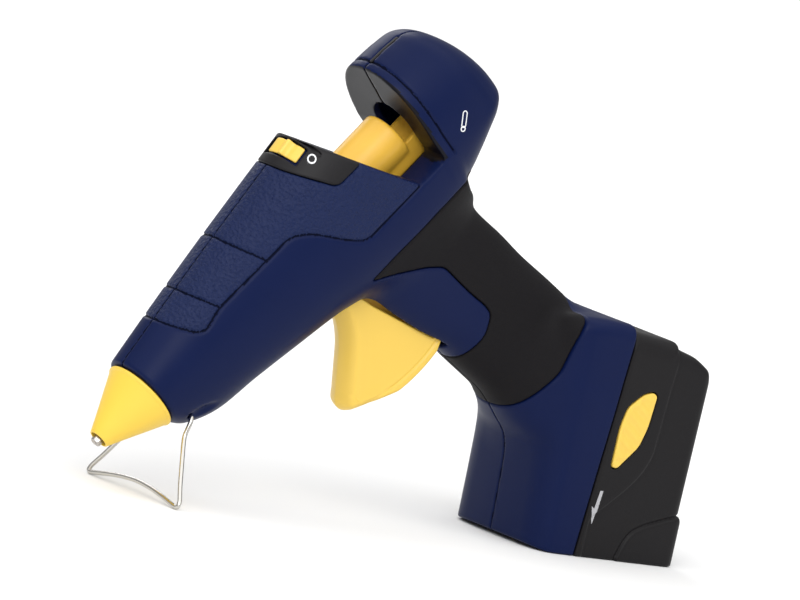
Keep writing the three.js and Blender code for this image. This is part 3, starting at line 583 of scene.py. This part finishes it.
# ---------------------------------------------------------------- nozzle, cover and stand
def ring_mesh(profile, segments=128):
    """Closed profile of (x, radius) points turned about the barrel axis."""
    profile = np.array(profile, float)
    angle = np.linspace(0, 2 * math.pi, segments, endpoint=False)
    n = len(profile)
    x = np.repeat(profile[:, 0], segments)
    r = np.repeat(profile[:, 1], segments)
    a = np.tile(angle, n)
    points = np.stack([x, r * np.sin(a), r * np.cos(a)], 1)
    i, j = np.meshgrid(np.arange(n), np.arange(segments), indexing="ij")
    i, j = i.ravel(), j.ravel()
    i1, j1 = (i + 1) % n, (j + 1) % segments
    faces = np.stack([i * segments + j, i * segments + j1, i1 * segments + j1, i1 * segments + j], 1)
    area = np.sum(profile[:, 0] * np.roll(profile[:, 1], -1) - np.roll(profile[:, 0], -1) * profile[:, 1])
    return points, faces if area < 0 else faces[:, ::-1]


COVER = rounded([(2.4, 3.9), (2.5, 4.6), (10, 8.0), (19, 12.25), (27.6, 16.3), (28.2, 17.0), (29.4, 17.0),
                 (29.5, 13.4), (34, 13.4), (34, 11.6), (26, 11.2), (7, 4)], 0.5, 4)
points, faces = ring_mesh(COVER)
make_object("nozzle_cover_skin", points, faces, gun_to_row, "gun_body", [SILICONE],
            replaced=["nozzle_cover"])


def nozzle_field(x, y, z):
    radius = np.interp(x, [0, 0.5, 6, 22, 32, 32.2, 42], [1.8, 2.4, 3.1, 8, 8, 6.4, 6.4])
    f = smax(np.hypot(y, z) - radius, np.maximum(-x, x - 42), 0.4)
    flats = np.maximum.reduce([np.abs(y * math.cos(a) + z * math.sin(a)) for a in (0.3, 1.347, 2.394)]) - 2.2
    f = np.where(x < 4.5, smax(f, flats, 0.3), f)
    bore = np.interp(x, [0, 0.7, 11, 14, 42], [1.7, 1.1, 1.1, 3.4, 3.4])
    return smax(f, bore - np.hypot(y, z), 0.2)


piece("nozzle_turned", nozzle_field, (0, -8, -8), (42, 8, 8), 0.3, "gun_body", [NOZZLE_METAL],
      ["nozzle"])

STAND_LINE = np.array([-35.4, 0, -14.4]) / math.hypot(35.4, 14.4)
STAND_HALF = [      # along the stand, across it
    (0, 7), (0, 12.5), (0.6, 14.6), (2.6, 15.7), (9, 16.2), (11, 17), (20, 22.4), (30, 28.6), (33.4, 31),
    (36, 32.6), (37.6, 32.8), (38.2, 31.4), (37.8, 28.6), (36.2, 20), (34.8, 10), (34.2, 0)]


def wire_mesh(radius, sides=14, steps=10):
    """Bent wire in the stand's own plane, swept as one closed tube."""
    rows = np.array(STAND_HALF + [(d, -y) for d, y in STAND_HALF[-2::-1]], float)
    n = len(rows)
    line = []
    for k in range((n - 1) * steps + 1):
        i, t = min(k // steps, n - 2), k / steps - min(k // steps, n - 2)
        p = [rows[min(max(i + d, 0), n - 1)] for d in (-1, 0, 1, 2)]
        knots = [0.0]
        for a, b in zip(p, p[1:]):
            knots.append(knots[-1] + max(math.sqrt(np.linalg.norm(b - a)), 1e-4))
        at = knots[1] + (knots[2] - knots[1]) * t
        rung = p
        for reach in (1, 2):
            rung = [((knots[j + reach] - at) * rung[j] + (at - knots[j]) * rung[j + 1])
                    / (knots[j + reach] - knots[j]) for j in range(4 - reach)]
        rung = [((knots[2] - at) * rung[0] + (at - knots[1]) * rung[1]) / (knots[2] - knots[1])]
        line.append(rung[0])
    line = np.array(line)
    tangent = np.gradient(line, axis=0)
    tangent /= np.linalg.norm(tangent, axis=1, keepdims=True)
    origin = np.array([STAND_PIVOT[0] + 0.16, 0, STAND_PIVOT[1] + 0.13])
    across = np.array([0.0, 1.0, 0.0])
    normal = np.cross(STAND_LINE, across)
    centre = origin + line[:, :1] * STAND_LINE + line[:, 1:] * across
    side = -tangent[:, 1:] * STAND_LINE + tangent[:, :1] * across
    angle = np.linspace(0, 2 * math.pi, sides, endpoint=False)
    tube = [centre + radius * (math.cos(a) * side + math.sin(a) * normal) for a in angle]
    points = np.stack(tube, 1).reshape(-1, 3)
    count = len(line)
    faces = [[i * sides + j, i * sides + (j + 1) % sides, (i + 1) * sides + (j + 1) % sides,
              (i + 1) * sides + j] for i in range(count - 1) for j in range(sides)]
    faces.append(list(range(sides))[::-1])
    faces.append([(count - 1) * sides + j for j in range(sides)])
    return points, faces


points, faces = wire_mesh(1.0)
make_object("stand_wire", points, faces, gun_to_row, "stand", [WIRE_METAL],
            replaced=["wire_stand"])


# ---------------------------------------------------------------- trigger
def arc(centre, radius, start, end, count):
    return [(centre[0] + radius * math.cos(math.radians(a)), centre[1] + radius * math.sin(math.radians(a)))
            for a in np.linspace(start, end, count)]


SOLE_CENTRE = (134.5, -15)
SOLE_RADIUS = 75.6
TRIGGER_SOLE = arc(SOLE_CENTRE, SOLE_RADIUS, -81, -116.7, 20)
FINGER_EDGE = arc((103.2, -77.2), 6, 243.3, 138.5, 14) + arc((85, -34.4), 36, -41.5, -7, 12)
TRIGGER_SIDE = Plan(arc(TRIGGER_PIVOT, 5.4, 160, 10, 9) + [(140, -40), (144, -60), (156, -84.5)]
                    + TRIGGER_SOLE + FINGER_EDGE)
TRIGGER_NOSE = Plan([(112, -92), (107, -86.5)] + FINGER_EDGE + [(121, -30)], closed=False)
TRIGGER_CHEEK = Plan(arc(SOLE_CENTRE, 72.2, -72, -112, 18)
                     + [(104.6, -78), (100, -60), (100, -20), (160, -20)])
TRIGGER_POCKET = Plan([(129, -32), (135, -36), (143, -58), (152, -80), (148.5, -83.4), (134.5, -50)])


def trigger_field(x, y, z):
    """Finger lever: broad rounded nose, sunk cheeks with a scored edge, and a slot for the lever."""
    outline = TRIGGER_SIDE(x, z)
    nose = TRIGGER_NOSE(x, z)
    cheek = TRIGGER_CHEEK(x, z)
    away = np.clip(nose / 11, 0, 1)
    half = 8.45 - 0.55 * np.clip(-cheek / 0.5, 0, 1) * away - 0.8 * np.exp(-(cheek / 0.6) ** 2) * away
    round_off = 1.4 + 13 * (1 - away) ** 1.5
    f = smax(outline, np.abs(y) - half, round_off)
    f = smax(f, -smax(TRIGGER_POCKET(x, z), 1.4 - np.abs(y), 1), 0.8)
    return np.maximum(f, -bore_y(x, z, TRIGGER_PIVOT, 2.5))


piece("trigger_moulding", trigger_field, (96, -8.6, -96), (157, 8.6, -14), 0.5, "trigger",
      [YELLOW], ["trigger"])


# ---------------------------------------------------------------- stick carriage and guide
def carriage_field(x, y, z):
    tube = smax(np.hypot(y, z - 0.4) - 11.8, np.maximum(122 - x, x - 187), 1.6)
    cradle = smax(block(x, y, z, (124, -9, -13), (202, 9, -3)), np.abs(y) - 9, 0.5)
    lug = block(x, y, z, (150, -3, -19), (164, 3, -12))
    f = smin(tube, smin(cradle, lug, 1.0), 1.0)
    f = smax(f, 6.8 - np.hypot(y, z), 1.0)
    f = smax(f, -block(x, y, z, (129, -8, -20), (134, 8, -4)), 0.4)
    return np.maximum(f, -bore_y(x, z, (156, -16.5), 1.6))


piece("carriage_moulding", carriage_field, (122, -11.8, -19), (202, 11.8, 12.2), 0.6, "carriage",
      [YELLOW_DEEP], ["stick_carriage"])


def guide_field(x, y, z):
    r = np.hypot(y, z)
    collar = smax(r - 12.6, np.maximum(207 - x, x - 214), 0.8)
    tube = smax(r - 9.2, np.maximum(213 - x, x - 230), 0.6)
    f = smin(collar, tube, 0.8)
    flare = 7.2 + 1.6 * np.exp(-((230 - x) / 2.2) ** 2)
    return smax(f, flare - r, 0.5)


piece("guide_moulding", guide_field, (207, -12.6, -12.6), (230, 12.6, 12.6), 0.5, "gun_body",
      [BLACK], ["stick_guide"])


# ---------------------------------------------------------------- switch on the crown
SLOT = ((139.9, -12.0), (148.9, 12.4))
CROWN = (147.0, 19.85)              # a point on the axis that the slider rocks about
CROWN_SLOPE = 0.155


def rectangle(x, y, low, high, radius):
    dx = np.abs(x - (low[0] + high[0]) / 2) - (high[0] - low[0]) / 2 + radius
    dy = np.abs(y - (low[1] + high[1]) / 2) - (high[1] - low[1]) / 2 + radius
    return np.hypot(np.maximum(dx, 0), np.maximum(dy, 0)) + np.minimum(np.maximum(dx, dy), 0) - radius


def plate_field(x, y, z):
    body = body_field(x, y, z)
    window = rectangle(x, y, *SLOT, 0.8)
    gutter = rectangle(x, y, (149.6, -16.2), (151.4, 9), 0.8)
    f = smax(body - 0.05, PLATE(x, z) + 0.12, 1.1)
    f = np.maximum(f, -(body + 1.9))
    f = smax(f, -window, 0.5)
    return smax(f, -np.maximum(gutter, -(body + 1.2)), 0.4)


piece("crown_plate", plate_field, (134, -25, 16), (163, 25, 40), 0.45, "gun_body",
      [BLACK_SMOOTH], ["switch_plate"])


def slider_field(x, y, z):
    """Curved cap with a raised thumb bar, rolled about the crown's own axis."""
    lean = math.atan(CROWN_SLOPE)
    ax = (x - CROWN[0]) * math.cos(lean) + (z - CROWN[1]) * math.sin(lean)
    az = -(x - CROWN[0]) * math.sin(lean) + (z - CROWN[1]) * math.cos(lean)
    r = np.hypot(y, az)
    angle = np.arctan2(-y, az)
    top = 17.0 + 1.7 * np.exp(-((angle - 0.19) / 0.085) ** 2) - 0.5 * np.exp(-((angle - 0.36) / 0.09) ** 2)
    top = top - 0.35 * np.exp(-((angle + 0.02) / 0.1) ** 2)
    f = smax(r - top, 15.7 - r, 0.3)
    ends = np.maximum(angle - 0.68, -0.44 - angle) * 16
    return smax(f, smax(ends, np.abs(ax) - 3.6, 0.8), 0.6)


piece("slider_cap", slider_field, (137, -12.5, 26), (150, 9, 40), 0.3, "switch", [YELLOW],
      ["power_slider"])


def surface_mark(shape, x, y, z, proud=0.12, deep=0.4):
    """A printed shape: a thin layer that follows the moulded surface."""
    body = body_field(x, y, z)
    return np.maximum(np.maximum(body - proud, -(body + deep)), shape)


def zero_field(x, y, z):
    across, along = -y - 14.9, x - 146.9
    ring = np.abs(np.hypot(across * 1.25, along * 0.85) - 1.5) - 0.3
    return np.maximum(surface_mark(ring, x, y, z), 20 - z)


piece("zero_mark", zero_field, (143, -18.5, 24), (150.5, -11.5, 34), 0.16, "gun_body",
      [WHITE_PRINT])


def strip_field(x, y, z):
    top, _, _, _ = hood_at(x)
    f = smax(np.abs(y) - 0.78, np.abs(x - 207.1) - 8.2, 0.4)
    return np.maximum(smax(f, z - top - 0.02, 0.3), top - 1.1 - z)


piece("seam_insert", strip_field, (198.6, -0.8, 30), (215.5, 0.8, 34), 0.25, "gun_body",
      [BLACK_SMOOTH], ["seam_strip"])


def capsule(x, z, start, end, radius):
    ex, ez = end[0] - start[0], end[1] - start[1]
    t = np.clip(((x - start[0]) * ex + (z - start[1]) * ez) / (ex * ex + ez * ez), 0, 1)
    return np.hypot(x - start[0] - t * ex, z - start[1] - t * ez) - radius


def stick_mark_field(x, y, z):
    rod = np.abs(capsule(x, z, (206.6, -4.0), (210.2, -0.8), 1.05)) - 0.24
    end = np.abs(np.hypot(x - 205.3, z + 5.15) - 1.05) - 0.26
    return np.maximum(surface_mark(np.minimum(rod, end), x, y, z), 15 + y)


piece("stick_mark", stick_mark_field, (203.4, -29.5, -7), (212.2, -27.0, 1.2), 0.16, "gun_body",
      [WHITE_PRINT])


# ---------------------------------------------------------------- screws
def screw_field(x, y, z):
    r = np.hypot(x, z)
    head = smax(r - 3.0, np.maximum(9.4 - y, y - 12.2 + 0.045 * r ** 2), 0.5)
    thread = 1.15 + 0.08 * np.cos(2 * math.pi * y / 1.1 + np.arctan2(z, x))
    f = np.minimum(head, np.maximum(r - thread, np.maximum(-4.4 - y, y - 10)))
    star = r - 1.35 - 0.25 * np.cos(6 * np.arctan2(z, x))
    return smax(f, -np.maximum(star, 10.6 - y), 0.15)


screw_points, screw_faces = field_mesh(screw_field, (-3.1, -4.5, -3.1), (3.1, 12.3, 3.1), 0.3)
for number, (sx, sz) in enumerate(SCREWS, 1):
    make_object(f"screw_{number}", screw_points + np.array([sx, 0, sz]), screw_faces, gun_to_row, "gun_body",
                [SCREW_METAL], replaced=[f"body_screw_{number}"])

# ---------------------------------------------------------------- battery pack (base frame)
PACK_SIDE = Plan(rounded([
    (222, -9), (292.4, -9), (292.4, 20.4), (290.8, 22.6), (291.7, 81.6), (290.4, 86.2), (282.4, 90.8),
    (275, 92.8), (272.6, 93.6), (271, 96.2), (250, 98.4), (222, 100.8)], 2.4), span=BASE_RANGE, step=0.25)
PACK_STEP = Plan(rounded([
    (271.4, 110), (271.7, 91.2), (269.9, 72.6), (268.4, 46.9), (265.1, 39.5), (259.4, 32.4), (250.3, 24),
    (242, 17.4), (242, -20), (310, -20), (310, 110)], 4), span=BASE_RANGE, step=0.25)
PACK_TOE = Plan(rounded([
    (300, 23), (292, 22.5), (282.2, 19.7), (272.7, 16.6), (266, 13.2), (262.9, 8.5), (259.6, -1),
    (259, -20), (300, -20)], 3), span=BASE_RANGE, step=0.25)
BUTTON = Plan(rounded([
    (247.2, 40.2), (250.2, 39.8), (259.4, 50.2), (262.0, 59), (263.3, 72.8), (261.2, 74.2), (256.4, 73),
    (249.2, 66.6), (247.2, 58)], 2.6), span=BASE_RANGE, step=0.2)
ARROW = Plan([(243.5, 14.5), (241.3, 22.6), (242.9, 21.6), (244.1, 29.6), (245.7, 29.6), (244.7, 20.6)],
             span=BASE_RANGE, step=0.2)


def pack_body(x, y, z):
    """Outer skin of the pack before hollowing."""
    across = np.abs(y)
    step, toe = PACK_STEP(x, z), PACK_TOE(x, z)
    half = 33.55 - 0.35 * np.clip(0.5 - step / 1.2, 0, 1) + 0.8 * np.clip(0.5 - toe / 1.0, 0, 1)
    edge = np.interp(x, [262, 286], [9, 5.5]).astype(np.float32)
    f = smax(PACK_SIDE(x, z), across - half, edge)
    return f + groove(step, 0.5, 0.3) + groove(toe - 0.5, 0.55, 0.8)


def pack_field(x, y, z):
    f = pack_body(x, y, z)
    inner = smax(PACK_SIDE(x, z), np.abs(y) - 33.5, 6) + 2
    split = split_x(z) + 0.2 - x
    f = smax(smax(f, sole_z(x) - z, 1.2), split, 1.2)
    f = np.maximum(f, -np.maximum(inner, 2 - z))
    return smax(f, -np.maximum(BUTTON(x, z) - 0.45, 20 - np.abs(y)), 0.5)


piece("pack_shell", pack_field, (237, -34, 0), (292.4, 34, 100), 0.7, "battery_pack",
      [BLACK], ["pack_case"], to_row=base_to_row)


SPRING_SEAT = (255.6, 56)


def button_field(side):
    """Ribbed release button, hollowed behind for its spring."""
    def field(x, y, z):
        across = y * side
        edge = BUTTON(x, z)
        wave = np.cos(2 * math.pi * (x * 0.578 + z * 0.816) / 5.2)
        top = 33.9 + 0.3 * wave * np.clip((-edge - 0.8) / 1.5, 0, 1)
        cap = smax(smax(edge + 0.05, across - top, 0.9), 30.8 - across, 0.4)
        return np.maximum(cap, -np.maximum(bore_y(x, z, SPRING_SEAT, 3.8), across - 33.1))
    return field


for side, name in ((-1, "left"), (1, "right")):
    low_y, high_y = (30.5, 34.4) if side > 0 else (-34.4, -30.5)
    piece(name + "_button_cap", button_field(side), (245, low_y, 38), (264.5, high_y, 75.5), 0.35,
          name + "_button", [YELLOW], [name + "_release_button"], to_row=base_to_row)


def arrow_field(side):
    """Printed arrow that shows which way the pack slides off."""
    def field(x, y, z):
        skin = pack_body(x, y, z)
        return np.maximum(np.maximum(np.maximum(skin - 0.1, -(skin + 0.35)), ARROW(x, z)), 20 - y * side)
    return field


for side, name in ((-1, "left"), (1, "right")):
    low_y, high_y = (31.5, 34.2) if side > 0 else (-34.2, -31.5)
    piece(name + "_slide_arrow", arrow_field(side), (240.6, low_y, 13.8), (246.4, high_y, 30.4), 0.2,
          "battery_pack", [GREY_PRINT], to_row=base_to_row)


# ---------------------------------------------------------------- design pieces, with real finishes
def dress(material, *names, bevel=0.25):
    """Give design pieces their finish and, where they have edges, a small bevel in millimetres."""
    for name in names:
        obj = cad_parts[name]
        obj.data.materials.clear()
        obj.data.materials.append(material)
        if bevel:
            soft = obj.modifiers.new("edges", "BEVEL")
            soft.width = bevel * MM
            soft.segments = 2
            soft.limit_method = "ANGLE"
            soft.angle_limit = math.radians(40)


dress(BLACK, "battery_dock", "pack_lid", "terminal_block", "front_chamber_support", "rear_chamber_support",
      "slide_switch")
dress(ALUMINIUM, "melt_chamber")
dress(CERAMIC, "heater_element", "thermal_fuse")
dress(SCREW_METAL, "heater_clip", "stick_jaw", "feed_lever", "trigger_pin", "lever_pin", bevel=0.15)
dress(WIRE_METAL, "valve_ball", "valve_spring", "trigger_spring", "left_release_spring",
      "right_release_spring", bevel=0)
dress(BRASS, "contact_blade_1", "contact_blade_2", bevel=0.1)
dress(BOARD, "control_board", "pack_board", bevel=0.1)
dress(SLEEVE, "inlet_sleeve")
dress(WRAP, *[f"battery_cell_{n}" for n in range(1, 6)])


# ---------------------------------------------------------------- floor, light and camera
def studio():
    floor = bpy.data.meshes.new("studio_floor")
    size = 6.0
    corners = [(-size, -size, 0), (size, -size, 0), (size, size, 0), (-size, size, 0)]
    floor.from_pydata(corners, [], [(0, 1, 2, 3)])
    plate = bpy.data.objects.new("studio_floor", floor)
    bpy.context.scene.collection.objects.link(plate)
    pale = moulded("studio_pale", (0.90, 0.90, 0.90), 0.9, 40, 0.0001, variation=0.0, specular=0.05)
    floor.materials.append(pale)
    world = bpy.data.worlds.new("studio")
    world.use_nodes = True
    world.node_tree.nodes["Background"].inputs["Color"].default_value = (1, 1, 1, 1)
    world.node_tree.nodes["Background"].inputs["Strength"].default_value = 0.4
    bpy.context.scene.world = world
    soft = bpy.data.lights.new("overhead", "SUN")
    soft.energy = 2.5
    soft.angle = math.radians(110)
    lamp = bpy.data.objects.new("overhead", soft)
    lamp.rotation_euler = Vector((-0.25, -0.3, 1)).to_track_quat("Z", "Y").to_euler()
    bpy.context.scene.collection.objects.link(lamp)
    for name, place, power in (("key", (-0.9, -1.1, 0.9), 6.5), ("fill", (1.1, -1.1, 0.5), 1.5),
                               ("back", (0.3, 1.3, 0.9), 5)):
        light = bpy.data.lights.new(name, "AREA")
        light.shape = "DISK"
        light.size = 0.9
        light.energy = power
        lamp = bpy.data.objects.new(name, light)
        lamp.location = place
        lamp.rotation_euler = (Vector((0, 0, 0.1)) - Vector(place)).to_track_quat("-Z", "Y").to_euler()
        bpy.context.scene.collection.objects.link(lamp)


def photo_camera():
    right = Vector((0.7850, -0.5803, 0.2170)).normalized()
    back = Vector((-0.6117, -0.7815, 0.1230)).normalized()
    up = back.cross(right).normalized()
    right = up.cross(back).normalized()
    distance, width = 9.0, 0.3386
    camera = bpy.data.cameras.new("camera")
    camera.sensor_width = 36
    camera.lens = 36 * distance / width
    view = bpy.data.objects.new("camera", camera)
    aim = Vector((-0.0017, 0.0006, 0.0950))
    matrix = Matrix((right, up, back)).transposed().to_4x4()
    matrix.translation = aim + back * distance
    view.matrix_world = matrix
    bpy.context.scene.collection.objects.link(view)
    bpy.context.scene.camera = view


studio()
photo_camera()
bpy.context.scene.view_settings.view_transform = "Standard"
